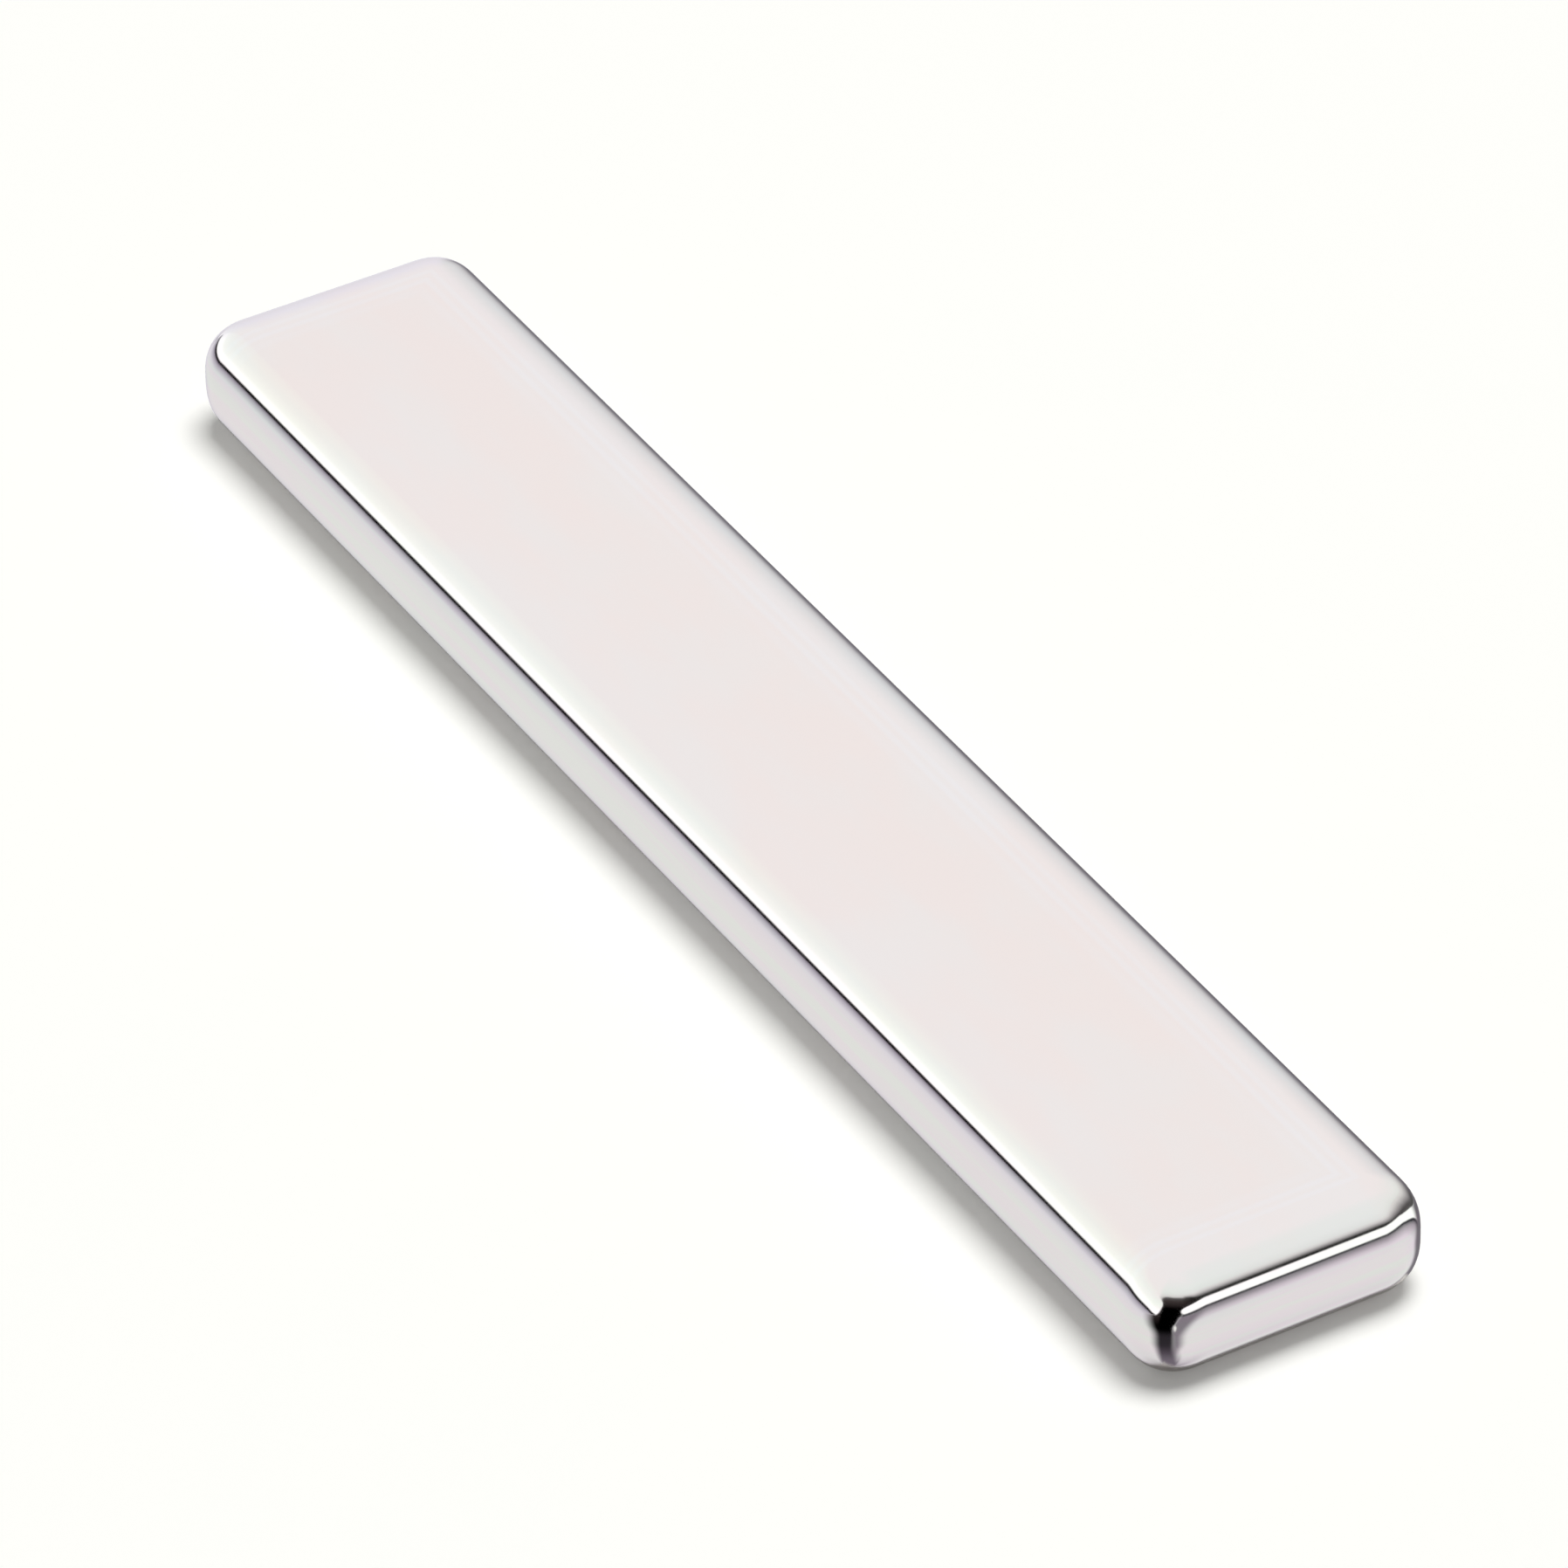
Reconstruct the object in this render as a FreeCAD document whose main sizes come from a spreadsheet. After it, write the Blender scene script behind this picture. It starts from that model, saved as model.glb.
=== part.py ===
"""Block magnet: one sintered bar, plated all over, magnetised through its thickness.

Frame in millimetres. The origin is the centre of the lower pole face, where the block rests.
+X runs along the length, +Y across the width, and +Z up through the thickness.
All six faces are flat. Tumbling rounds a block evenly before it is plated, so one radius rolls
along all twelve edges and each of the eight corners is an eighth of a ball.
"""

import FreeCAD, Part
import math
import os
from enum import IntEnum

import Sketcher
from FreeCAD import Vector

# Driving dimensions, in millimetres
SIZES = {
    "block_length": 60.0,
    "block_width": 10.0,
    "block_thickness": 4.0,
    "edge_radius": 1.6,
}

# The rounding leaves some flat in the middle of each wall: the largest share of it that it takes
EDGE_SHARE_OF_WALL = 0.45

# The radius as built, worked out in the sheet from the driving dimensions
FITTED_EDGE = (
    f"=min(edge_radius; block_length * {EDGE_SHARE_OF_WALL};"
    f" block_width * {EDGE_SHARE_OF_WALL}; block_thickness * {EDGE_SHARE_OF_WALL})"
)

VOLUME_TOLERANCE = 1e-4


class Side(IntEnum):
    """The sides of the outline, in the order that they are drawn in."""

    NEAR = 0
    RIGHT = 1
    FAR = 2
    LEFT = 3


class Grip(IntEnum):
    """Where a constraint takes hold of a sketched line, and how it names the sketch's origin."""

    ORIGIN = -1
    START = 1
    END = 2


def build_sheet(doc):
    """Put the driving dimensions and the fitted radius into the sheet, one to a row."""
    sheet = doc.addObject("Spreadsheet::Sheet", "Sizes")
    rows = {**{alias: str(value) for alias, value in SIZES.items()}, "fitted_edge": FITTED_EDGE}
    for row, (alias, content) in enumerate(rows.items(), start=1):
        sheet.set(f"A{row}", alias)
        sheet.set(f"B{row}", content)
        sheet.setAlias(f"B{row}", alias)
        doc.recompute()
    return sheet


def origin_plane(body, role):
    """Return the body's own origin plane that has this role."""
    return next(plane for plane in body.Origin.OriginFeatures if plane.Role == role)


def draw_sides(sketch, half_length, half_width):
    """Draw the four sides anticlockwise from above, joined end to end."""
    corners = [
        Vector(-half_length, -half_width, 0),
        Vector(half_length, -half_width, 0),
        Vector(half_length, half_width, 0),
        Vector(-half_length, half_width, 0),
    ]
    for side in Side:
        start = corners[side]
        end = corners[(side + 1) % len(corners)]
        sketch.addGeometry(Part.LineSegment(start, end), False)
    for side in Side:
        following = Side((side + 1) % len(Side))
        joint = Sketcher.Constraint("Coincident", side, Grip.END, following, Grip.START)
        sketch.addConstraint(joint)


def square_and_centre(sketch):
    """Keep the sides level and upright, and the outline's middle on the origin."""
    for side in (Side.NEAR, Side.FAR):
        sketch.addConstraint(Sketcher.Constraint("Horizontal", side))
    for side in (Side.RIGHT, Side.LEFT):
        sketch.addConstraint(Sketcher.Constraint("Vertical", side))
    centred = Sketcher.Constraint(
        "Symmetric", Side.NEAR, Grip.START, Side.FAR, Grip.START, Grip.ORIGIN, Grip.START
    )
    sketch.addConstraint(centred)


def size_outline(sketch, sheet):
    """Bind the outline's length and width to the sheet."""
    length = Sketcher.Constraint("Distance", Side.NEAR, sheet.block_length)
    width = Sketcher.Constraint("Distance", Side.RIGHT, sheet.block_width)
    for constraint, alias in ((length, "block_length"), (width, "block_width")):
        index = sketch.addConstraint(constraint)
        sketch.setExpression(f"Constraints[{index}]", f"Sizes.{alias}")


def sketch_outline(doc, sheet, body):
    """Sketch the block's outline seen from above, on the plane that it rests on."""
    sketch = body.newObject("Sketcher::SketchObject", "PoleFaceOutline")
    sketch.AttachmentSupport = [(origin_plane(body, "XY_Plane"), "")]
    sketch.MapMode = "FlatFace"
    draw_sides(sketch, sheet.block_length / 2, sheet.block_width / 2)
    square_and_centre(sketch)
    size_outline(sketch, sheet)
    doc.recompute()
    return sketch


def build_block(doc, sheet):
    """Make the block: the outline raised to its thickness, then every edge rolled over."""
    body = doc.addObject("PartDesign::Body", "BlockMagnet")
    body.Label = "block_magnet"

    slab = body.newObject("PartDesign::Pad", "Slab")
    slab.Profile = sketch_outline(doc, sheet, body)
    slab.setExpression("Length", "Sizes.block_thickness")
    doc.recompute()

    rounding = body.newObject("PartDesign::Fillet", "TumbledEdges")
    every_edge = [f"Edge{number}" for number in range(1, len(slab.Shape.Edges) + 1)]
    rounding.Base = (slab, every_edge)
    rounding.setExpression("Radius", "Sizes.fitted_edge")
    body.Placement = FreeCAD.Placement(Vector(0, 0, 0), FreeCAD.Rotation())
    doc.recompute()
    return body


def rounded_block_volume(sheet):
    """Work out the volume of the block from its sizes alone.

    The block is everything within one edge radius of a smaller, sharp block. Its volume is
    that of the sharp block, a layer on each of its faces, a quarter rod along each of its
    edges, and one ball shared out among its corners.
    """
    radius = sheet.fitted_edge
    length = sheet.block_length - 2 * radius
    width = sheet.block_width - 2 * radius
    thickness = sheet.block_thickness - 2 * radius
    faces = 2 * (length * width + width * thickness + thickness * length)
    rods = math.pi * radius**2 * (length + width + thickness)
    ball = 4 / 3 * math.pi * radius**3
    return length * width * thickness + faces * radius + rods + ball


def check_model(doc, sheet, body):
    """Stop if a feature failed, or if the solid isn't the block that the sheet describes."""
    for item in doc.Objects:
        if "Invalid" in item.State or "Error" in item.State:
            raise RuntimeError(f"{item.Name} failed: {item.State}")
    shape = body.Shape
    if shape.isNull() or not shape.isValid() or len(shape.Solids) != 1:
        raise RuntimeError("the block is not one valid solid")
    expected = rounded_block_volume(sheet)
    if not math.isclose(shape.Volume, expected, rel_tol=VOLUME_TOLERANCE):
        raise RuntimeError(f"the volume is {shape.Volume}, not {expected}")


def main():
    """Build the block, check it and write it."""
    doc = FreeCAD.newDocument("BlockMagnet")
    sheet = build_sheet(doc)
    body = build_block(doc, sheet)
    check_model(doc, sheet, body)
    os.makedirs("parts", exist_ok=True)
    body.Shape.exportStep(f"parts/{body.Label}.step")
    box = body.Shape.optimalBoundingBox()
    print(f"{body.Label}: {box.XLength:.3f} x {box.YLength:.3f} x {box.ZLength:.3f} mm")
    print(f"volume {body.Shape.Volume:.2f} mm3, edge radius {sheet.fitted_edge:.3f} mm")


main()
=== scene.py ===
"""Block magnet: one plated bar lying on a pale sheet inside a light tent.

Lengths are in metres. The origin is the centre of the lower pole face, +X runs along the bar,
+Y across it and +Z up through its thickness. Directions round the tent are in degrees:
a bearing is counted anticlockwise from +X seen from above, a height is counted from level.
"""

import logging
import math
from dataclasses import dataclass
from enum import Enum

import bpy
import numpy as np
from mathutils import Matrix, Vector

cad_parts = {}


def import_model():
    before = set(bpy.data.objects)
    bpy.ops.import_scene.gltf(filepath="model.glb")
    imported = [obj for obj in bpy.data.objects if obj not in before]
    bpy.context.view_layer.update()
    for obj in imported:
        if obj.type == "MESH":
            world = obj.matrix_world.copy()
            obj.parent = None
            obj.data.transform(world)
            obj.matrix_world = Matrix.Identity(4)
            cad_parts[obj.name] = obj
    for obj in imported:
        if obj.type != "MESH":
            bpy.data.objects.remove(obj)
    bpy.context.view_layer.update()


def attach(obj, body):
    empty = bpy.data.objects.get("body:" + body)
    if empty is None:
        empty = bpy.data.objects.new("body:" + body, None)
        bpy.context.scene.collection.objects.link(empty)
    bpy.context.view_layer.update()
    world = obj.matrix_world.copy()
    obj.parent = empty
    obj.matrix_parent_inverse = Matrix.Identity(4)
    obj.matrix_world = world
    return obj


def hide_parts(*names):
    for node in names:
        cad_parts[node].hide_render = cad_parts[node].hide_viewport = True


LOG = logging.getLogger("block_magnet")
NODE = "block_magnet"
BODY = "root"

Pair = tuple[float, float]
Triple = tuple[float, float, float]
Colour = Triple
Span = Pair
Stop = tuple[float, Colour]
Line = tuple[Pair, ...]
Socket = bpy.types.NodeSocket
Number = Socket | float
Tint = Socket | Colour

FULL_TURN = 360.0
HALF_TURN = 180.0
RADIAN_IN_DEGREES = math.degrees(1)
METRE_IN_MILLIMETRES = 1000.0
BLACK = (0.0, 0.0, 0.0)
WHITE = (1.0, 1.0, 1.0)
BRIGHT_CLOTH = (1.24, 1.29, 1.29)

# The Mix node's sockets for its two colours and for the blended one
MIX_COLOURS = (6, 7)
MIXED_COLOUR = 2


class BoxSide(Enum):
    """The six sides of a box: the axis that each looks along, and which way."""

    END_FRONT = (0, 1)
    END_BACK = (0, -1)
    LONG_FAR = (1, 1)
    LONG_NEAR = (1, -1)
    POLE_UPPER = (2, 1)
    POLE_LOWER = (2, -1)


class NodeSheet:
    """Lays out the nodes of one material or world, and joins them as it goes."""

    def __init__(self, tree: bpy.types.NodeTree) -> None:
        """Start on this node tree, emptied."""
        self.tree = tree
        self.tree.nodes.clear()

    def add(self, kind: str, **settings: str) -> bpy.types.Node:
        """Add a node.

        Args:
            kind: the node's type name.
            settings: the node's own properties.

        Returns:
            The new node.
        """
        node = self.tree.nodes.new(kind)
        for name, value in settings.items():
            setattr(node, name, value)
        return node

    def feed(self, socket: Socket, source: Socket | float | Triple) -> None:
        """Join a socket to an output, or set it to a plain value.

        Args:
            socket: the input to fill.
            source: an output socket, a number, or three numbers. A colour is set fully opaque.
        """
        if isinstance(source, Socket):
            self.tree.links.new(source, socket)
        elif socket.type == "RGBA":
            socket.default_value = (*source, 1.0)
        else:
            socket.default_value = source

    def finish(self, kind: str, shader: bpy.types.Node) -> None:
        """Join the last shader to the tree's output, a node of this kind."""
        self.feed(self.add(kind).inputs["Surface"], shader.outputs[0])

    def math(self, operation: str, *terms: Number) -> Socket:
        """Work out one number.

        Args:
            operation: the name of the operation.
            terms: its one to three terms, sockets or numbers.

        Returns:
            The result's socket.
        """
        node = self.add("ShaderNodeMath", operation=operation)
        for socket, term in zip(node.inputs, terms):
            self.feed(socket, term)
        return node.outputs[0]

    def product(self, first: Number, *others: Number) -> Socket:
        """Multiply two or more numbers.

        Args:
            first: the first of them, a socket or a number.
            others: the rest.

        Returns:
            The result's socket.
        """
        result = first
        for other in others:
            result = self.math("MULTIPLY", result, other)
        return result

    def rise(self, value: Socket, low: Number, high: Number) -> Socket:
        """Rise smoothly from 0 at low to 1 at high, which may be below low.

        Args:
            value: what is measured.
            low: where the rise begins.
            high: where it ends.

        Returns:
            The result's socket.
        """
        node = self.add("ShaderNodeMapRange", interpolation_type="SMOOTHSTEP")
        for name, source in (("Value", value), ("From Min", low), ("From Max", high)):
            self.feed(node.inputs[name], source)
        return node.outputs[0]

    def blend(self, share: Socket, first: Tint, second: Tint) -> Socket:
        """Blend two colours.

        Args:
            share: how much of the second is taken, 0 to 1.
            first: the colour at 0.
            second: the colour at 1.

        Returns:
            The blended colour's socket.
        """
        node = self.add("ShaderNodeMix", data_type="RGBA")
        self.feed(node.inputs[0], share)
        for number, colour in zip(MIX_COLOURS, (first, second)):
            self.feed(node.inputs[number], colour)
        return node.outputs[MIXED_COLOUR]

    def mix(self, share: Socket, first: bpy.types.Node, second: bpy.types.Node) -> bpy.types.Node:
        """Mix two shaders.

        Args:
            share: how much of the second is taken, 0 to 1.
            first: the shader at 0.
            second: the shader at 1.

        Returns:
            The node that mixes them.
        """
        node = self.add("ShaderNodeMixShader")
        self.feed(node.inputs[0], share)
        self.feed(node.inputs[1], first.outputs[0])
        self.feed(node.inputs[2], second.outputs[0])
        return node

    def parts(self, vector: Socket) -> list[Socket]:
        """Take a vector apart.

        Args:
            vector: the vector's socket.

        Returns:
            The sockets of its three numbers.
        """
        node = self.add("ShaderNodeSeparateXYZ")
        self.feed(node.inputs[0], vector)
        return list(node.outputs)

    def ramp(self, height: Socket, stops: tuple[Stop, ...]) -> Socket:
        """Give a colour for each height from -90 to 90 degrees.

        The ramp's own scale is 0 to 1, so level stands at its middle.

        Args:
            height: the height in degrees.
            stops: heights and their colours, from the lowest up.

        Returns:
            The colour's socket.
        """
        middle = 0.5
        share = self.math("MULTIPLY_ADD", height, 1 / HALF_TURN, middle)
        node = self.add("ShaderNodeValToRGB")
        elements = node.color_ramp.elements
        while len(elements) < len(stops):
            elements.new(middle)
        for element, (place, colour) in zip(elements, stops):
            element.position = place / HALF_TURN + middle
            element.color = (*colour, 1.0)
        self.feed(node.inputs[0], share)
        return node.outputs[0]

    def line(self, value: Socket, points: Line) -> Socket:
        """Follow a smooth line through points.

        Args:
            value: where along the line to look.
            points: places along it, and how high it is there.

        Returns:
            The height's socket.
        """
        places, heights = zip(*points)
        first, last = places[0], places[-1]
        low, high = min(heights), max(heights)
        scaled = [
            ((place - first) / (last - first), (height - low) / (high - low))
            for place, height in points
        ]
        node = self.add("ShaderNodeFloatCurve")
        curve = node.mapping.curves[0]
        curve.points[0].location = scaled[0]
        curve.points[1].location = scaled[-1]
        for place in scaled[1:-1]:
            curve.points.new(*place)
        node.mapping.update()
        share = self.math("MULTIPLY_ADD", value, 1 / (last - first), -first / (last - first))
        self.feed(node.inputs["Value"], share)
        return self.math("MULTIPLY_ADD", node.outputs[0], high - low, low)


def new_material(name: str) -> tuple[bpy.types.Material, NodeSheet]:
    """Start a material.

    Args:
        name: its name.

    Returns:
        The material, and the sheet to lay its nodes on.
    """
    material = bpy.data.materials.new(name)
    material.use_nodes = True
    return material, NodeSheet(material.node_tree)


def into_scene(name: str, data: bpy.types.ID) -> bpy.types.Object:
    """Put a mesh, a lamp's light or a camera's data into the scene.

    Args:
        name: the new object's name.
        data: what it holds.

    Returns:
        The new object.
    """
    thing = bpy.data.objects.new(name, data)
    bpy.context.scene.collection.objects.link(thing)
    return thing


def new_piece(
    name: str, points: np.ndarray, faces: list[list[int]], material: bpy.types.Material
) -> bpy.types.Object:
    """Make a mesh, dress it and put it into the scene.

    Args:
        name: its name.
        points: its points.
        faces: the corners of each face.
        material: its material.

    Returns:
        The new piece.
    """
    mesh = bpy.data.meshes.new(name)
    mesh.from_pydata(points.tolist(), [], faces)
    mesh.materials.append(material)
    return into_scene(name, mesh)


def grid_faces(number: np.ndarray) -> np.ndarray:
    """Give the faces of a grid, each between two lines and the next two.

    Args:
        number: the number of the point at each crossing of the grid.

    Returns:
        The four corners of each face, in order round it.
    """
    corners = (number[:-1, :-1], number[1:, :-1], number[1:, 1:], number[:-1, 1:])
    return np.stack([corner.ravel() for corner in corners], axis=1)


def directions(bearing: np.ndarray | float, height: np.ndarray | float) -> np.ndarray:
    """Give directions, each (cos b cos h, sin b cos h, sin h) for a bearing b and a height h.

    Args:
        bearing: one bearing or an array of them, in degrees.
        height: one height or an array of them, in degrees.

    Returns:
        The directions, each of length 1, with X, Y and Z along the last axis.
    """
    turn, rise = np.radians(bearing), np.radians(height)
    ways = (np.cos(turn) * np.cos(rise), np.sin(turn) * np.cos(rise), np.sin(rise))
    return np.stack(np.broadcast_arrays(*ways), axis=-1)


@dataclass(frozen=True)
class BarSize:
    """The bar's overall size."""

    length: float = 0.060
    width: float = 0.010
    thickness: float = 0.004

    def halves(self) -> Triple:
        """Give half of each size."""
        return self.length / 2, self.width / 2, self.thickness / 2


@dataclass(frozen=True)
class NickelPlating:
    """Bright nickel, tumbled smooth: nearly a mirror, very slightly uneven.

    The cells of each kind of noise are counted to the metre along each axis. A span says
    where a change begins and where it ends. The rim's painted reflection bands go by millimetres.
    """

    size: BarSize = BarSize()
    colour: Colour = (0.864, 0.786, 0.768)
    cool_tint: Colour = (0.846, 0.798, 0.786)
    cloud_cells: Triple = (160.0, 420.0, 420.0)
    cloud_span: Span = (0.35, 0.65)
    # Painted reflection: a cool tint in bands inside the far and end rims, standing in for the
    # rings the shoulder mirrors
    rim_reflection_tint: Colour = (0.846, 0.828, 0.848)
    rim_reflection_bands: Line = (
        (0.0, 0.35),
        (1.7, 0.35),
        (1.85, 0.85),
        (2.05, 0.3),
        (2.25, 0.8),
        (2.45, 0.15),
        (2.65, 0.3),
        (3.0, 0.0),
        (5.0, 0.0),
    )
    rim_reflection_strength: float = 0.3
    rim_reflection_swing: float = 0.8
    streak_tints: tuple[Colour, Colour] = ((0.864, 0.780, 0.792), (0.834, 0.818, 0.776))
    streak_cells: Triple = (110.0, 110.0, 2800.0)
    streak_span: Span = (0.38, 0.62)
    upright_span: Span = (0.0018, 0.0011)
    streak_height: float = 0.000001
    ripple_cells: Triple = (260.0, 520.0, 520.0)
    ripple_height: float = 0.0000012
    grain_cells: Triple = (2600.0, 2600.0, 2600.0)
    roughness: float = 0.06
    roughness_swing: float = 0.05

    def material(self) -> bpy.types.Material:
        """Make the finish.

        The colour wanders a little between warm and cool in soft clouds, as thin plating does.
        The surface has a low, wide ripple left by the tumbling, and on its upright sides fine
        streaks that run round the bar, left by the grinding before it. Near the far side and the
        ends, the pole faces carry painted reflection bands.

        Returns:
            The new material.
        """
        material, sheet = new_material("nickel plating")
        place = sheet.add("ShaderNodeTexCoord").outputs["Object"]
        clouds = self.noise(sheet, place, self.cloud_cells, detail=3.0)
        grain = self.noise(sheet, place, self.grain_cells, detail=2.0)
        ripple = self.noise(sheet, place, self.ripple_cells, detail=1.0)
        streaks = self.noise(sheet, place, self.streak_cells, detail=3.0)
        shader = sheet.add("ShaderNodeBsdfPrincipled")
        shader.inputs["Metallic"].default_value = 1.0
        tint = sheet.blend(sheet.rise(clouds, *self.cloud_span), self.colour, self.cool_tint)
        # Painted reflection bands near the far and end rims
        tint = self.with_painted_rim_reflection(sheet, place, clouds, tint)
        sheet.feed(shader.inputs["Base Color"], self.streaked(sheet, place, streaks, tint))
        rough = sheet.math("MULTIPLY_ADD", grain, self.roughness_swing, self.roughness)
        sheet.feed(shader.inputs["Roughness"], rough)
        wide = self.bump(sheet, ripple, self.ripple_height, None)
        sheet.feed(shader.inputs["Normal"], self.bump(sheet, streaks, self.streak_height, wide))
        sheet.finish("ShaderNodeOutputMaterial", shader)
        return material

    def with_painted_rim_reflection(self, sheet: NodeSheet, place: Socket, clouds: Socket, tint: Socket) -> Socket:
        """Paint faint cool reflection bands inside the rim of the pole faces, broken up by the
        clouds.

        They are a painted reflection of the pale rings that the rounded shoulder mirrors. They go
        by how far in a place is from the two ends and the far side, in millimetres; the near side
        has none.

        Args:
            sheet: the sheet to lay it on.
            place: where on the bar.
            clouds: the soft clouds, 0 to 1.
            tint: the colour so far.

        Returns:
            The colour's socket.
        """
        half_length, half_width, _ = self.size.halves()
        along, across, _ = sheet.parts(place)
        ends = sheet.math("SUBTRACT", half_length, sheet.math("ABSOLUTE", along))
        far_side = sheet.math("SUBTRACT", half_width, across)
        inward = sheet.product(sheet.math("MINIMUM", ends, far_side), METRE_IN_MILLIMETRES)
        strength = sheet.math("MULTIPLY_ADD", clouds, self.rim_reflection_swing, self.rim_reflection_strength)
        share = sheet.product(sheet.line(inward, self.rim_reflection_bands), strength)
        return sheet.blend(share, tint, self.rim_reflection_tint)

    def streaked(self, sheet: NodeSheet, place: Socket, streaks: Socket, tint: Socket) -> Socket:
        """Tint the streaks on the upright sides, from lavender to pale green.

        Args:
            sheet: the sheet to lay it on.
            place: where on the bar.
            streaks: the streaks, 0 to 1.
            tint: the colour so far.

        Returns:
            The colour's socket.
        """
        _, _, half_thickness = self.size.halves()
        _, _, up = sheet.parts(place)
        off_middle = sheet.math("ABSOLUTE", sheet.math("SUBTRACT", up, half_thickness))
        upright = sheet.rise(off_middle, *self.upright_span)
        streak = sheet.blend(sheet.rise(streaks, *self.streak_span), *self.streak_tints)
        return sheet.blend(upright, tint, streak)

    @staticmethod
    def noise(sheet: NodeSheet, place: Socket, cells: Triple, detail: float) -> Socket:
        """Make smooth noise, drawn out or packed along each axis.

        Args:
            sheet: the sheet to lay it on.
            place: where on the bar.
            cells: cells to the metre along each axis.
            detail: how many finer layers are added.

        Returns:
            The noise's socket, 0 to 1.
        """
        mapping = sheet.add("ShaderNodeMapping")
        sheet.feed(mapping.inputs["Vector"], place)
        mapping.inputs["Scale"].default_value = cells
        node = sheet.add("ShaderNodeTexNoise")
        sheet.feed(node.inputs["Vector"], mapping.outputs[0])
        node.inputs["Scale"].default_value = 1.0
        node.inputs["Detail"].default_value = detail
        return node.outputs[0]

    @staticmethod
    def bump(sheet: NodeSheet, relief: Socket, height: float, under: Socket | None) -> Socket:
        """Tilt the surface by a relief.

        Args:
            sheet: the sheet to lay it on.
            relief: the relief, 0 to 1.
            height: how high the relief stands, in metres.
            under: the tilt that it is added to, if any.

        Returns:
            The tilted normal's socket.
        """
        node = sheet.add("ShaderNodeBump")
        node.inputs["Distance"].default_value = height
        sheet.feed(node.inputs["Height"], relief)
        if under is not None:
            sheet.feed(node.inputs["Normal"], under)
        return node.outputs[0]


@dataclass
class PlatedBar:
    """The whole magnet: a bar whose edges roll over softly all round."""

    size: BarSize = BarSize()
    edge_reach: float = 0.001868
    edge_fullness: float = 2.4
    rim_steps: int = 20
    flat_step: float = 0.0009
    seam_width: float = 0.0000001

    def build(self, finish: NickelPlating) -> bpy.types.Object:
        """Make the bar and dress it.

        Args:
            finish: the plating.

        Returns:
            The finished piece.
        """
        points, faces = self.surface()
        piece = new_piece("plated_bar", points, faces.tolist(), finish.material())
        piece.data.shade_smooth()
        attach(piece, BODY)
        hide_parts(NODE)
        return piece

    def surface(self) -> tuple[np.ndarray, np.ndarray]:
        """Work out the bar's skin.

        Each side of the sharp box gets a grid. Every point of it is pulled in to the core box,
        which is smaller by the edge's reach, and pushed out again the same way until its three
        offsets, each raised to the edge's fullness and added up, equal the reach raised to the
        fullness. A fullness of 2 gives a plain radius. A little more starts the bend gently.

        Returns:
            The points, and the four corners of each face, anticlockwise seen from outside.
        """
        sides = [self.side_grid(side) for side in BoxSide]
        starts = np.cumsum([0] + [len(points) for points, _ in sides[:-1]])
        points = self.push_out(np.vstack([points for points, _ in sides]))
        faces = np.vstack([faces + start for (_, faces), start in zip(sides, starts)])
        _, _, half_thickness = self.size.halves()
        return self.close_seams(points + [0.0, 0.0, half_thickness], faces)

    def side_grid(self, side: BoxSide) -> tuple[np.ndarray, np.ndarray]:
        """Lay a grid over one side of the sharp box.

        Args:
            side: which side.

        Returns:
            The grid's points, and the corners of its faces, anticlockwise from outside.
        """
        axis, sign = side.value
        next_axis, last_axis = (axis + 1) % 3, (axis + 2) % 3
        halves = self.size.halves()
        lines = (self.stations(halves[next_axis]), self.stations(halves[last_axis]))
        first, second = np.meshgrid(*lines, indexing="ij")
        points = np.empty((first.size, 3))
        points[:, axis] = sign * halves[axis]
        points[:, next_axis] = first.ravel()
        points[:, last_axis] = second.ravel()
        number = np.arange(first.size).reshape(first.shape)
        return points, grid_faces(number)[:, ::sign]

    def stations(self, half: float) -> np.ndarray:
        """Place the lines of a grid along one axis.

        On the rim the offset past the core is the reach times the tangent of an angle that
        goes from 0 to 45 degrees in even steps. The flat between is divided into an even number
        of equal parts, each about as long as the flat step.

        Args:
            half: half of the bar's size along the axis.

        Returns:
            The places, from the lowest to the highest.
        """
        core = half - self.edge_reach
        rim = core + self.edge_reach * np.tan(np.linspace(0, math.pi / 4, self.rim_steps + 1))
        count = max(2, 2 * round(core / self.flat_step))
        flat = np.linspace(-core, core, count + 1)
        return np.concatenate([-rim[:0:-1], flat, rim[1:]])

    def push_out(self, points: np.ndarray) -> np.ndarray:
        """Round the box off: see surface().

        Args:
            points: points on the sharp box, about its middle.

        Returns:
            The points on the rounded bar, about its middle.
        """
        core = np.array(self.size.halves()) - self.edge_reach
        pulled = np.clip(points, -core, core)
        offset = points - pulled
        power = self.edge_fullness
        spread = (np.abs(offset) ** power).sum(axis=1, keepdims=True) ** (1 / power)
        return pulled + offset / spread * self.edge_reach

    def close_seams(self, points: np.ndarray, faces: np.ndarray) -> tuple[np.ndarray, np.ndarray]:
        """Make points that meet at the seams, nearer than the seam's width, into one.

        Args:
            points: the points of all sides.
            faces: the corners of all faces.

        Returns:
            The points without doubles, and the faces renumbered.
        """
        keys = np.round(points / self.seam_width).astype(np.int64)
        _, kept, number = np.unique(keys, axis=0, return_index=True, return_inverse=True)
        return points[kept], number.reshape(-1)[faces]


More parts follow.
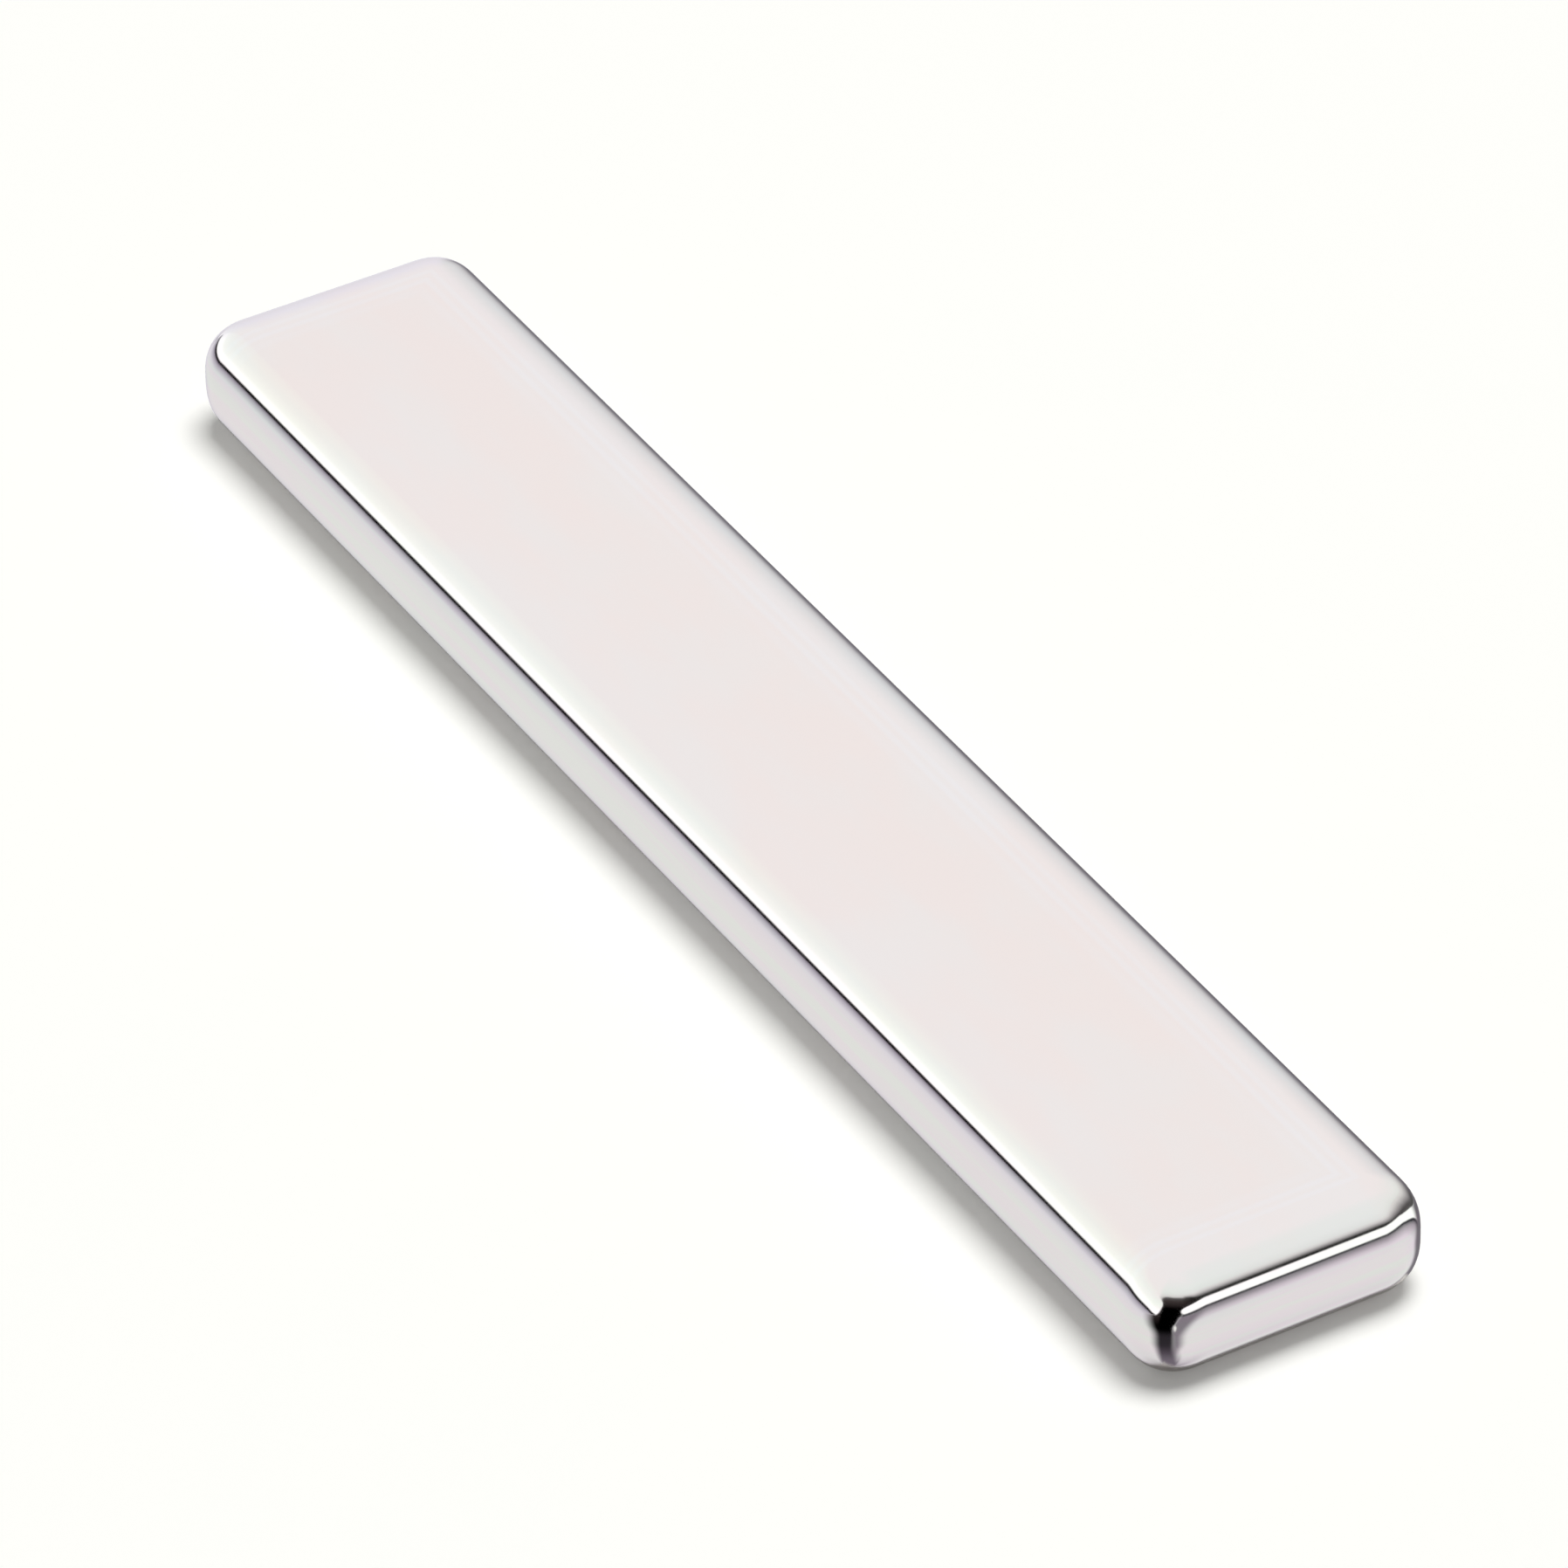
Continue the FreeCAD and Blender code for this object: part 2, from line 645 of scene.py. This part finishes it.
@dataclass(frozen=True)
class Look:
    """A direction seen from the bar: the sockets of its height and its bearing."""

    sheet: NodeSheet
    height: Socket
    bearing: Socket

    @classmethod
    def along(cls, sheet: NodeSheet, way: Socket) -> "Look":
        """Work out a direction's height and bearing, in degrees.

        Args:
            sheet: the sheet to lay them on.
            way: the direction, of length 1.

        Returns:
            The look along it.
        """
        along, across, up = sheet.parts(way)
        height = sheet.product(sheet.math("ARCSINE", up), RADIAN_IN_DEGREES)
        bearing = sheet.product(sheet.math("ARCTAN2", across, along), RADIAN_IN_DEGREES)
        return cls(sheet, height, bearing)


@dataclass(frozen=True)
class Border:
    """An upright border of the opening: its bearing by height, and how soft it is there."""

    middle: Line
    softness: Line

    def past(self, look: Look) -> Socket:
        """Rise from 0 to 1 across the border.

        Args:
            look: the direction.

        Returns:
            The result's socket.
        """
        sheet = look.sheet
        middle = sheet.line(look.height, self.middle)
        softness = sheet.line(look.height, self.softness)
        low = sheet.math("SUBTRACT", middle, softness)
        return sheet.rise(look.bearing, low, sheet.math("ADD", middle, softness))


@dataclass(frozen=True)
class LightTent:
    """The tent round the bar: pale cloth, a dark opening for the camera, a dark lower seam.

    Going round anticlockwise, its parts are left, opening, right, behind and back. The curtain
    shuts the near part of the opening, where the dark card stands. The colours of each part go
    by height, as the plating mirrors them. Those of the opening go by how far above its top
    edge a direction is. The top edge, the seam's sag and the drop of the right wall's bright
    strip go by bearing. A span says where a change begins and ends.
    """

    left: tuple[Stop, ...] = (
        (-90.0, (0.30, 0.30, 0.31)),
        (-60.0, (0.80, 0.82, 0.84)),
        (-36.0, (0.87, 0.89, 0.89)),
        (-20.0, (0.84, 0.87, 0.89)),
        (-14.0, (0.80, 0.84, 0.88)),
        (-5.5, (0.52, 0.53, 0.60)),
        (-1.2, (0.29, 0.28, 0.33)),
        (-0.4, (0.10, 0.09, 0.11)),
        (0.2, BLACK),
        (4.0, BLACK),
        (5.8, BRIGHT_CLOTH),
        (16.0, BRIGHT_CLOTH),
        (22.0, (1.10, 1.18, 1.13)),
        (36.0, (1.01, 1.08, 1.05)),
        (42.0, (1.02, 1.06, 1.03)),
        (50.0, WHITE),
        (90.0, WHITE),
    )
    opening: tuple[Stop, ...] = (
        (-90.0, BLACK),
        (-26.0, BLACK),
        (-9.0, (0.05, 0.04, 0.04)),
        (-1.6, (0.10, 0.10, 0.10)),
        (0.0, (0.36, 0.37, 0.37)),
        (2.5, (0.78, 0.82, 0.80)),
        (6.0, (0.86, 0.94, 0.91)),
        (16.0, (0.92, 0.99, 0.97)),
        (50.0, WHITE),
        (90.0, WHITE),
    )
    right: tuple[Stop, ...] = (
        (-90.0, (0.30, 0.29, 0.33)),
        (-74.0, (0.66, 0.64, 0.70)),
        (-58.0, (0.83, 0.84, 0.87)),
        (-39.0, (0.87, 0.90, 0.90)),
        (-25.0, (0.85, 0.84, 0.90)),
        (-12.0, (0.44, 0.43, 0.47)),
        (-8.4, (0.26, 0.26, 0.28)),
        (-6.2, (0.04, 0.04, 0.05)),
        (-3.7, (0.02, 0.02, 0.03)),
        (-2.4, BRIGHT_CLOTH),
        (90.0, BRIGHT_CLOTH),
    )
    curtain: tuple[Stop, ...] = (
        (-90.0, (0.42, 0.40, 0.45)),
        (-60.0, (0.74, 0.74, 0.79)),
        (-39.0, (0.84, 0.86, 0.89)),
        (10.0, (0.96, 0.98, 1.0)),
        (50.0, WHITE),
        (90.0, WHITE),
    )
    behind: tuple[Stop, ...] = (
        (-90.0, (0.30, 0.29, 0.33)),
        (-22.0, (0.16, 0.15, 0.17)),
        (-12.0, (0.30, 0.30, 0.33)),
        (-1.0, (0.64, 0.66, 0.68)),
        (10.0, (0.80, 0.85, 0.87)),
        (33.0, WHITE),
        (90.0, WHITE),
    )
    back: tuple[Stop, ...] = (
        (-90.0, (0.50, 0.49, 0.55)),
        (-34.0, (0.70, 0.69, 0.76)),
        (-22.0, (0.82, 0.82, 0.89)),
        (-7.0, (0.84, 0.84, 0.90)),
        (15.0, (0.92, 0.93, 1.01)),
        (35.0, WHITE),
        (90.0, WHITE),
    )
    near: Border = Border(
        middle=(
            (-90.0, -105.0),
            (-70.0, -75.0),
            (-60.0, -70.0),
            (-50.0, -69.0),
            (-39.0, -73.0),
            (-20.0, -85.0),
            (-12.0, -84.0),
            (-8.5, -77.0),
            (-6.5, -68.0),
            (-2.0, -62.0),
            (12.0, -55.0),
            (20.0, -53.0),
            (30.0, -58.0),
            (38.0, -63.0),
            (90.0, -63.0),
        ),
        softness=(
            (-90.0, 12.0),
            (-50.0, 13.0),
            (-28.0, 17.0),
            (-14.0, 16.0),
            (-9.0, 9.0),
            (-6.0, 2.0),
            (0.0, 1.5),
            (22.0, 1.5),
            (30.0, 4.0),
            (38.0, 7.0),
            (90.0, 7.0),
        ),
    )
    far: Border = Border(
        middle=(
            (-90.0, 60.0),
            (-72.0, -6.0),
            (-60.0, -14.0),
            (-39.0, -25.0),
            (-30.0, -28.5),
            (-20.0, -21.5),
            (-9.0, -13.0),
            (-5.0, -8.0),
            (2.0, -10.5),
            (6.0, -9.0),
            (9.0, -3.0),
            (14.0, 22.0),
            (90.0, 22.0),
        ),
        softness=(
            (-90.0, 20.0),
            (-50.0, 15.0),
            (-39.0, 8.0),
            (-33.0, 3.0),
            (-26.0, 1.2),
            (-16.0, 2.0),
            (-6.0, 5.0),
            (-1.0, 1.5),
            (7.0, 1.5),
            (14.0, 4.0),
            (90.0, 4.0),
        ),
    )
    top_edge: Line = (
        (-180.0, 31.0),
        (-62.0, 32.5),
        (-55.0, 36.5),
        (-42.0, 39.5),
        (-25.0, 38.0),
        (-10.0, 35.0),
        (10.0, 28.5),
        (20.0, 24.0),
        (30.0, 22.5),
        (50.0, 25.0),
        (65.0, 24.0),
        (80.0, 18.0),
        (125.0, -8.0),
        (180.0, -15.0),
    )
    edge_softness: Line = (
        (-180.0, 2.2),
        (-62.0, 2.2),
        (-48.0, 1.0),
        (-10.0, 1.0),
        (10.0, 1.5),
        (27.0, 2.3),
        (50.0, 4.0),
        (75.0, 5.0),
        (180.0, 5.0),
    )
    seam_sag: Line = (
        (-180.0, 0.0),
        (-110.0, 0.5),
        (-90.0, 2.5),
        (-68.0, 10.0),
        (-50.0, 12.0),
        (180.0, 12.0),
    )
    strip_drop: Line = (
        (-180.0, 0.0),
        (20.0, 0.0),
        (30.0, -2.0),
        (45.0, -3.0),
        (60.0, 1.0),
        (75.0, 8.0),
        (120.0, 34.0),
        (180.0, 50.0),
    )
    strip_top: Span = (12.8, 11.0)
    soft_depth: float = 3.0
    deep_below: Span = (-1.0, -2.6)
    deep_from: Span = (-10.0, 15.0)
    deep_until: Span = (80.0, 45.0)
    deep_share: float = 0.8
    foot: Colour = (0.18, 0.16, 0.20)
    foot_below: Span = (-30.0, -74.0)
    curtain_beside: Span = (-6.0, -12.0)
    curtain_below: Span = (4.0, -1.0)
    card_beside: Span = (6.0, -4.0)
    card_below: Span = (6.0, 2.0)
    shade: Colour = (0.25, 0.23, 0.27)
    shade_slant: float = -1.1
    shade_beside: Span = (47.0, 23.0)
    shade_below: Span = (-8.0, -11.0)
    glint: Colour = (0.95, 0.95, 0.95)
    glint_place: Pair = (-23.0, -28.0)
    glint_reach: Pair = (4.0, 6.0)
    glint_span: Span = (0.1, 1.0)
    lap: float = -110.0
    turn_over_strip: float = 112.0
    turn_under_strip: float = 82.0
    turn_width: float = 24.0
    back_from: Span = (142.0, 150.0)
    left_from: Span = (162.0, 200.0)
    backdrop: Colour = (1.0, 1.0, 0.965)
    fill: Colour = (0.18, 0.18, 0.18)

    def build(self) -> None:
        """Put the tent round the scene.

        The camera sees a white backdrop. The plating mirrors the tent, and the sheet under the
        bar gets an even light from it.
        """
        world = bpy.data.worlds.new("light tent")
        bpy.context.scene.world = world
        world.use_nodes = True
        sheet = NodeSheet(world.node_tree)
        rays = sheet.add("ShaderNodeLightPath").outputs
        way = sheet.add("ShaderNodeTexCoord").outputs["Generated"]
        mirrored = sheet.add("ShaderNodeBackground")
        sheet.feed(mirrored.inputs["Color"], self.cloth(Look.along(sheet, way)))
        even = sheet.add("ShaderNodeBackground")
        sheet.feed(even.inputs["Color"], self.fill)
        white = sheet.add("ShaderNodeBackground")
        sheet.feed(white.inputs["Color"], self.backdrop)
        lit = sheet.mix(rays["Is Glossy Ray"], even, mirrored)
        seen = sheet.mix(rays["Is Camera Ray"], lit, white)
        sheet.finish("ShaderNodeOutputWorld", seen)

    def cloth(self, look: Look) -> Socket:
        """Give the tent's colour in a direction.

        Going round from the left wall, each part gives way to the next at its border.

        Args:
            look: the direction.

        Returns:
            The colour's socket.
        """
        sheet = look.sheet
        sagged = sheet.math("ADD", look.height, sheet.line(look.bearing, self.seam_sag))
        left = sheet.ramp(sagged, self.left)
        dropped, under_strip = self.under_strip(look)
        right = self.with_glint(look, self.shaded(look, sheet.ramp(dropped, self.right)))
        walled = sheet.product(self.far.past(look), under_strip)
        colour = sheet.blend(self.near.past(look), left, self.curtained(look))
        colour = sheet.blend(walled, colour, right)
        return self.closed_behind(look, under_strip, colour, left)

    def under_strip(self, look: Look) -> tuple[Socket, Socket]:
        """Follow the bright strip of the right wall, and find what is below its top.

        Args:
            look: the direction.

        Returns:
            The height plus the strip's drop there, and 1 below the strip's top, 0 above.
        """
        sheet = look.sheet
        dropped = sheet.math("ADD", look.height, sheet.line(look.bearing, self.strip_drop))
        return dropped, sheet.rise(dropped, *self.strip_top)

    def over_edge(self, look: Look) -> Socket:
        """Measure how far a direction is above the opening's top edge.

        Near the edge, the height above it is divided by the edge's softness there. Higher than
        the soft depth times that softness, it is only moved down.

        Args:
            look: the direction.

        Returns:
            The result's socket.
        """
        sheet = look.sheet
        plain = sheet.math("SUBTRACT", look.height, sheet.line(look.bearing, self.top_edge))
        softness = sheet.line(look.bearing, self.edge_softness)
        move = sheet.math("MULTIPLY_ADD", softness, self.soft_depth, -self.soft_depth)
        moved = sheet.math("SUBTRACT", plain, move)
        return sheet.math("MAXIMUM", sheet.math("DIVIDE", plain, softness), moved)

    def dark_cloth(self, look: Look, over_edge: Socket) -> Socket:
        """Give the colour of the dark opening and of the cloth above it.

        Args:
            look: the direction.
            over_edge: how far it is above the opening's top edge.

        Returns:
            The colour's socket.
        """
        sheet = look.sheet
        deep = sheet.product(
            sheet.rise(over_edge, *self.deep_below),
            sheet.rise(look.bearing, *self.deep_from),
            sheet.rise(look.bearing, *self.deep_until),
            self.deep_share,
        )
        dark = sheet.blend(deep, sheet.ramp(over_edge, self.opening), BLACK)
        return sheet.blend(sheet.rise(look.height, *self.foot_below), dark, self.foot)

    def curtained(self, look: Look) -> Socket:
        """Shut the near part of the opening with a pale curtain, as the dark card is there.

        Args:
            look: the direction.

        Returns:
            The colour's socket.
        """
        sheet = look.sheet
        over_edge = self.over_edge(look)
        beside = sheet.rise(look.bearing, *self.curtain_beside)
        shut = sheet.product(beside, sheet.rise(over_edge, *self.curtain_below))
        curtain = sheet.ramp(look.height, self.curtain)
        return sheet.blend(shut, self.dark_cloth(look, over_edge), curtain)

    def carded(self, look: Look, over_edge: Socket) -> Socket:
        """Say where the dark card hides the tent: 1 in the opening, fading at its borders.

        Args:
            look: the direction.
            over_edge: how far it is above the opening's top edge.

        Returns:
            The result's socket.
        """
        sheet = look.sheet
        _, under_strip = self.under_strip(look)
        walled = sheet.product(self.far.past(look), under_strip)
        return sheet.product(
            sheet.rise(over_edge, *self.card_below),
            sheet.rise(look.bearing, *self.card_beside),
            self.near.past(look),
            sheet.math("SUBTRACT", 1.0, walled),
        )

    def shaded(self, look: Look, cloth: Socket) -> Socket:
        """Shade the right wall below level, where it is next to the opening.

        The shade ends along a slanting line.

        Args:
            look: the direction.
            cloth: the wall's own colour.

        Returns:
            The shaded colour's socket.
        """
        sheet = look.sheet
        slanted = sheet.math("MULTIPLY_ADD", look.height, self.shade_slant, look.bearing)
        beside = sheet.rise(slanted, *self.shade_beside)
        share = sheet.product(beside, sheet.rise(look.height, *self.shade_below))
        return sheet.blend(share, cloth, self.shade)

    def with_glint(self, look: Look, cloth: Socket) -> Socket:
        """Add the small bright gap in the cloth beside the opening.

        It is an oval. How far off its middle a direction is, in bearing and in height, is
        divided by the glint's reach that way and squared, and both are added up.

        Args:
            look: the direction.
            cloth: the colour round it.

        Returns:
            The colour's socket.
        """
        sheet = look.sheet
        ways = (look.bearing, look.height)
        squares = []
        for value, place, reach in zip(ways, self.glint_place, self.glint_reach):
            off = sheet.math("DIVIDE", sheet.math("SUBTRACT", value, place), reach)
            squares.append(sheet.product(off, off))
        outside = sheet.rise(sheet.math("ADD", *squares), *self.glint_span)
        return sheet.blend(outside, self.glint, cloth)

    def closed_behind(
        self, look: Look, under_strip: Socket, colour: Socket, left: Socket
    ) -> Socket:
        """Close the tent behind the bar, round to the left wall again.

        The bearing runs on past 180 degrees, as far as the lap in the left wall.

        Args:
            look: the direction.
            under_strip: 1 below the top of the bright strip, 0 above.
            colour: the colour of the tent so far.
            left: the colour of the left wall.

        Returns:
            The colour's socket.
        """
        sheet = look.sheet
        run_on = sheet.math("WRAP", look.bearing, self.lap + FULL_TURN, self.lap)
        change = self.turn_under_strip - self.turn_over_strip
        turn = sheet.math("MULTIPLY_ADD", under_strip, change, self.turn_over_strip)
        turned = sheet.rise(run_on, turn, sheet.math("ADD", turn, self.turn_width))
        colour = sheet.blend(turned, colour, sheet.ramp(look.height, self.behind))
        at_back = sheet.rise(run_on, *self.back_from)
        colour = sheet.blend(at_back, colour, sheet.ramp(look.height, self.back))
        return sheet.blend(sheet.rise(run_on, *self.left_from), colour, left)


@dataclass
class DarkCard:
    """A curved dark card round the bar's front corner, seen only in the plating there."""

    middle: Triple = (0.0298, -0.0043, 0.0028)
    radius: float = 0.020
    bearings: Span = (-125.0, 12.0)
    heights: Span = (-88.0, 50.0)
    steps: int = 48

    def build(self, tent: LightTent) -> bpy.types.Object:
        """Hang the card.

        It is part of a ball: the middle plus the radius times the direction, for every bearing
        and height of its spans. Its faces look inwards.

        Args:
            tent: the tent, which says how dark it is in each direction.

        Returns:
            The card.
        """
        count = self.steps + 1
        bearings = np.linspace(*self.bearings, count)[:, None]
        heights = np.linspace(*self.heights, count)[None, :]
        points = (directions(bearings, heights) * self.radius + self.middle).reshape(-1, 3)
        faces = grid_faces(np.arange(len(points)).reshape(count, count))[:, ::-1]
        card = new_piece("dark_card", points, faces.tolist(), self.material(tent))
        for ray in ("camera", "diffuse", "transmission", "volume_scatter", "shadow"):
            setattr(card, f"visible_{ray}", False)
        return card

    def material(self, tent: LightTent) -> bpy.types.Material:
        """Make the card's dark cloth, clear where the tent is to be seen.

        Args:
            tent: the tent, which says how dark it is in each direction.

        Returns:
            The new material.
        """
        material, sheet = new_material("dark card")
        way = sheet.add("ShaderNodeVectorMath", operation="SUBTRACT")
        sheet.feed(way.inputs[0], sheet.add("ShaderNodeTexCoord").outputs["Object"])
        way.inputs[1].default_value = self.middle
        unit = sheet.add("ShaderNodeVectorMath", operation="NORMALIZE")
        sheet.feed(unit.inputs[0], way.outputs[0])
        look = Look.along(sheet, unit.outputs[0])
        over_edge = tent.over_edge(look)
        dark = sheet.add("ShaderNodeEmission")
        sheet.feed(dark.inputs["Color"], tent.dark_cloth(look, over_edge))
        clear = sheet.add("ShaderNodeBsdfTransparent")
        mixed = sheet.mix(tent.carded(look, over_edge), clear, dark)
        sheet.finish("ShaderNodeOutputMaterial", mixed)
        return material


@dataclass
class PaleSheet:
    """The white paper that the bar lies on."""

    radius: float = 1.5
    rings: int = 24
    spokes: int = 96
    paper: Colour = (0.86, 0.86, 0.83)
    glow: Colour = (0.145, 0.145, 0.14)
    bar: BarSize = BarSize()
    mirrored_span: Span = (-0.00055, -0.0001)

    def build(self) -> bpy.types.Object:
        """Lay the sheet.

        It is a flat disc: rings whose radius grows with the square of their number, each at
        level 0.

        Returns:
            The sheet.
        """
        radii = self.radius * np.linspace(0, 1, self.rings + 1)[1:, None, None] ** 2
        bearings = np.linspace(0, FULL_TURN, self.spokes, endpoint=False)
        points = (directions(bearings, 0.0) * radii).reshape(-1, 3)
        number = np.arange(len(points)).reshape(self.rings, self.spokes)
        closed = np.hstack([number, number[:, :1]])
        faces = [number[0].tolist(), *grid_faces(closed).tolist()]
        floor = new_piece("pale_sheet", points, faces, self.material())
        return floor

    def material(self) -> bpy.types.Material:
        """Make the paper: white to the eye, with the bar's own shadow on it.

        The plating mirrors the shaded paper under the bar's rim. Further out it mirrors the
        tent's lower half, which stands for the rest of the sheet.

        Returns:
            The new material.
        """
        material, sheet = new_material("white paper")
        rays = sheet.add("ShaderNodeLightPath").outputs
        paper = sheet.add("ShaderNodeBsdfDiffuse")
        sheet.feed(paper.inputs["Color"], self.paper)
        glow = sheet.add("ShaderNodeEmission")
        sheet.feed(glow.inputs["Color"], self.glow)
        sheet.feed(glow.inputs["Strength"], rays["Is Camera Ray"])
        lit = sheet.add("ShaderNodeAddShader")
        sheet.feed(lit.inputs[0], paper.outputs[0])
        sheet.feed(lit.inputs[1], glow.outputs[0])
        gone = sheet.product(rays["Is Glossy Ray"], self.past_rim(sheet))
        mixed = sheet.mix(gone, lit, sheet.add("ShaderNodeBsdfTransparent"))
        sheet.finish("ShaderNodeOutputMaterial", mixed)
        return material

    def past_rim(self, sheet: NodeSheet) -> Socket:
        """Rise from 0 under the bar to 1 at its outline.

        The distance is that to the outline, less than 0 under the bar: the larger of how far
        out it is along X and along Y.

        Args:
            sheet: the sheet of nodes to lay it on.

        Returns:
            The result's socket.
        """
        half_length, half_width, _ = self.bar.halves()
        along, across, _ = sheet.parts(sheet.add("ShaderNodeTexCoord").outputs["Object"])
        past_end = sheet.math("SUBTRACT", sheet.math("ABSOLUTE", along), half_length)
        past_side = sheet.math("SUBTRACT", sheet.math("ABSOLUTE", across), half_width)
        return sheet.rise(sheet.math("MAXIMUM", past_end, past_side), *self.mirrored_span)


@dataclass(frozen=True)
class SoftLamp:
    """A broad light from above and a little behind, for the soft shadow."""

    level: float = 0.82
    spread: float = 31.0
    bearing: float = 80.0
    height: float = 81.0

    def build(self) -> bpy.types.Object:
        """Hang the lamp.

        Its strength is pi times the level that it adds to an even white surface.

        Returns:
            The lamp.
        """
        light = bpy.data.lights.new("soft_lamp", "SUN")
        light.energy = self.level * math.pi
        light.angle = math.radians(self.spread)
        lamp = into_scene("soft_lamp", light)
        towards = Vector(directions(self.bearing, self.height))
        lamp.rotation_euler = towards.to_track_quat("Z", "Y").to_euler()
        lamp.visible_glossy = False
        return lamp


@dataclass(frozen=True)
class Viewpoint:
    """A long lens, 39 centimetres from the bar's middle, looking down along the bar."""

    place: Triple = (0.27121, -0.15370, 0.23266)
    target: Triple = (0.0, 0.0, 0.002)
    roll: float = -1.42
    lens: float = 285.7
    sensor_width: float = 36.0
    clip: Span = (0.01, 20.0)

    def build(self) -> bpy.types.Object:
        """Set up the camera.

        Returns:
            The camera.
        """
        data = bpy.data.cameras.new("viewpoint")
        data.sensor_width = self.sensor_width
        data.lens = self.lens
        data.clip_start, data.clip_end = self.clip
        camera = into_scene("viewpoint", data)
        back = Vector(self.place) - Vector(self.target)
        turned = back.to_track_quat("Z", "Y").to_matrix().to_4x4()
        roll = Matrix.Rotation(math.radians(self.roll), 4, "Z")
        camera.matrix_world = Matrix.Translation(self.place) @ turned @ roll
        bpy.context.scene.camera = camera
        return camera


def main() -> None:
    """Build the bar and everything round it, and log how many faces each piece has."""
    logging.basicConfig(level=logging.INFO, format="%(name)s: %(message)s")
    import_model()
    bpy.context.scene.view_settings.view_transform = "Standard"
    bar = PlatedBar().build(NickelPlating())
    LOG.info("%s: %d faces", bar.name, len(bar.data.polygons))
    sheet = PaleSheet().build()
    LOG.info("%s: %d faces", sheet.name, len(sheet.data.polygons))
    tent = LightTent()
    tent.build()
    card = DarkCard().build(tent)
    LOG.info("%s: %d faces", card.name, len(card.data.polygons))
    lamp = SoftLamp().build()
    camera = Viewpoint().build()
    LOG.info("%s and %s in place", lamp.name, camera.name)


if __name__ == "__main__":
    main()
